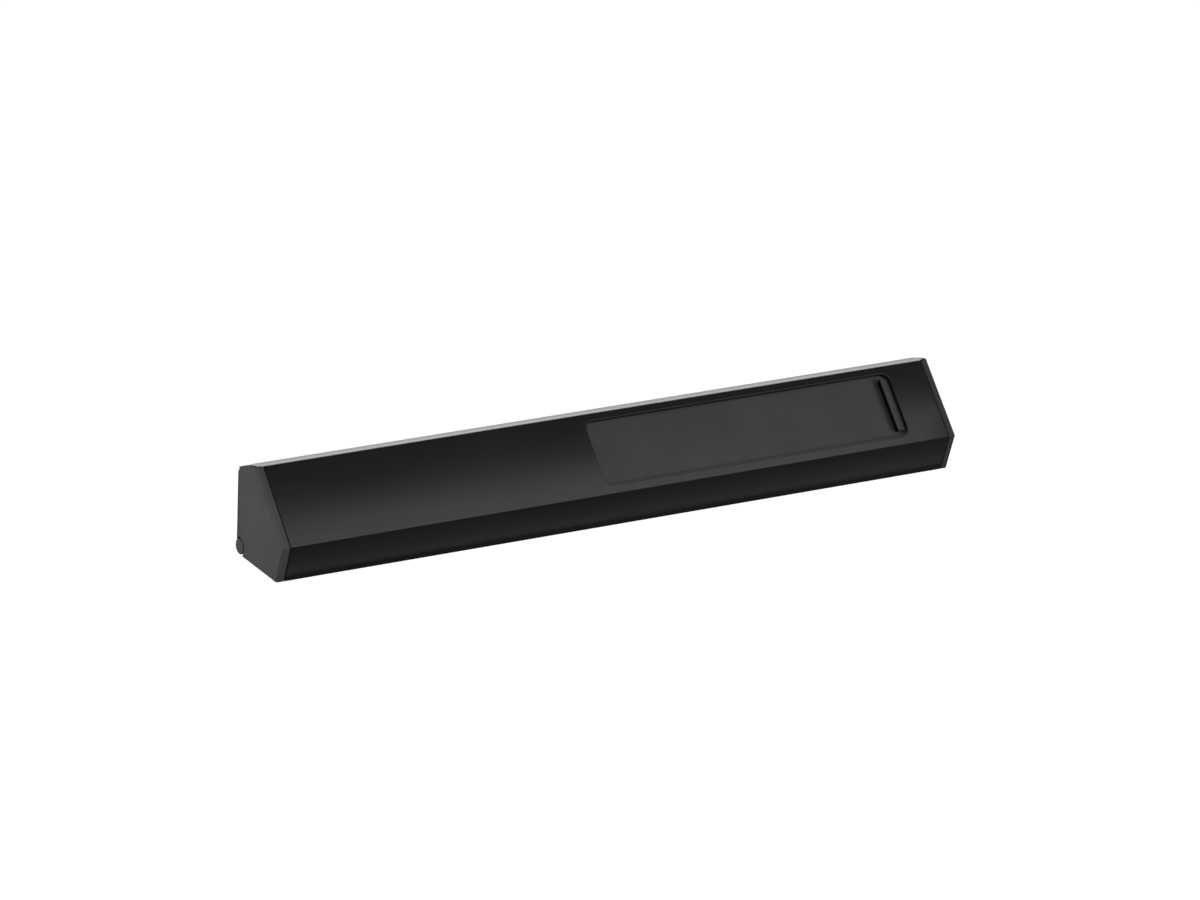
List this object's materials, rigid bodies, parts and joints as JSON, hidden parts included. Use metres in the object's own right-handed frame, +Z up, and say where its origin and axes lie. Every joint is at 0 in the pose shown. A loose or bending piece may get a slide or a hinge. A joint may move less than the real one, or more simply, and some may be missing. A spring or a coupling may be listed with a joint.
{
  "type": "led batten",
  "caption": "Black bar light with a convex light strip along its top, a sliding cover over a connection bay in its sloped front, and a mounting plate hinged along its rear foot.",
  "frame": {"origin": "on the surface that the bar stands on, under the middle of its overall box", "axes": "+X along the bar to the end with the cover, +Y to the rear, +Z up"},
  "size_m": [0.5004, 0.0658, 0.067],
  "materials": {
    "body_black": "black satin coating on an aluminium extrusion",
    "end_cap": "fine matte moulded texture",
    "lens": "frosted opal plastic",
    "cover": "matte fine-grained plastic",
    "grip": "matte plastic with a fine ribbed top",
    "plate_black": "black satin coating on an aluminium extrusion",
    "plug": "matte moulded plastic",
    "foot_rubber": "matte rubber strip",
    "tray": "matte dark grey paint",
    "socket": "matte black moulded plastic",
    "rocker": "satin black moulded plastic",
    "contact": "plated contact metal",
    "jack": "tinned steel shell",
    "window": "tinted clear plastic",
    "display": "dark display glass",
    "key": "soft grey moulded plastic",
    "key_switch": "black moulded plastic",
    "board_green": "green solder mask",
    "board_white": "white solder mask on aluminium",
    "emitter": "yellow phosphor",
    "pad": "soft grey-blue pad",
    "fastener": "zinc-plated steel",
    "driver_sheet": "bare sheet metal",
    "winding": "yellow insulating tape",
    "capacitor": "blue sleeve",
    "lead_brown": "brown insulation",
    "lead_red": "red insulation"
  },
  "bodies": {
    "bar": {"housing": "body_black", "end_cap_left": "end_cap", "end_cap_right": "end_cap", "lens": "lens", "led_board_left": "board_white", "led_board_middle": "board_white", "led_board_right": "board_white", "leds_left": "emitter", "leds_middle": "emitter", "leds_right": "emitter", "led_board_screws": "fastener", "thermal_pad": "pad", "cover_stop": "socket", "bay_tray": "tray", "tray_screws": "fastener", "power_inlet": "socket", "inlet_pins": "contact", "power_outlet": "socket", "switch_frame": "socket", "data_in_jack": "jack", "data_out_jack": "jack", "jack_contacts": "contact", "display_window": "window", "display_module": "display", "key_switches": "key_switch", "control_board": "board_green", "board_spacers": "fastener", "spacer_screws": "fastener", "driver_case": "driver_sheet", "driver_lid": "driver_sheet", "driver_board": "board_green", "driver_transformer": "winding", "driver_capacitors": "capacitor", "driver_screws": "fastener", "power_leads": "lead_brown", "light_leads": "lead_red", "foot_strip_front": "foot_rubber", "foot_strip_rear": "foot_rubber"},
    "cover": {"sliding_cover": "cover", "cover_grip": "grip"},
    "plate": {"rear_plate": "plate_black", "pivot_plug_left": "plug", "pivot_plug_right": "plug"},
    "rocker": {"switch_rocker": "rocker"},
    "menu_button": {"key_menu": "key"},
    "up_button": {"key_up": "key"},
    "down_button": {"key_down": "key"},
    "enter_button": {"key_enter": "key"}
  },
  "joints": [
    {"name": "cover_slide", "type": "slide", "parent": "bar", "child": "cover", "axis": [-1, 0, 0], "range_m": [0, 0.221]},
    {"name": "plate_hinge", "type": "hinge", "parent": "bar", "child": "plate", "pos_m": [0, 0.02769, 0.0062], "axis": [-1, 0, 0], "range_deg": [0, 90]},
    {"name": "rocker_pivot", "type": "hinge", "parent": "bar", "child": "rocker", "pos_m": [0.1364, 0.00043, 0.0344], "axis": [-1, 0, 0], "range_deg": [0, 16]},
    {"name": "menu_press", "type": "slide", "parent": "bar", "child": "menu_button", "axis": [0, 0.7071, -0.7071], "range_m": [0, 0.001], "stiffness_N_per_m": 1500},
    {"name": "up_press", "type": "slide", "parent": "bar", "child": "up_button", "axis": [0, 0.7071, -0.7071], "range_m": [0, 0.001], "stiffness_N_per_m": 1500},
    {"name": "down_press", "type": "slide", "parent": "bar", "child": "down_button", "axis": [0, 0.7071, -0.7071], "range_m": [0, 0.001], "stiffness_N_per_m": 1500},
    {"name": "enter_press", "type": "slide", "parent": "bar", "child": "enter_button", "axis": [0, 0.7071, -0.7071], "range_m": [0, 0.001], "stiffness_N_per_m": 1500}
  ]
}
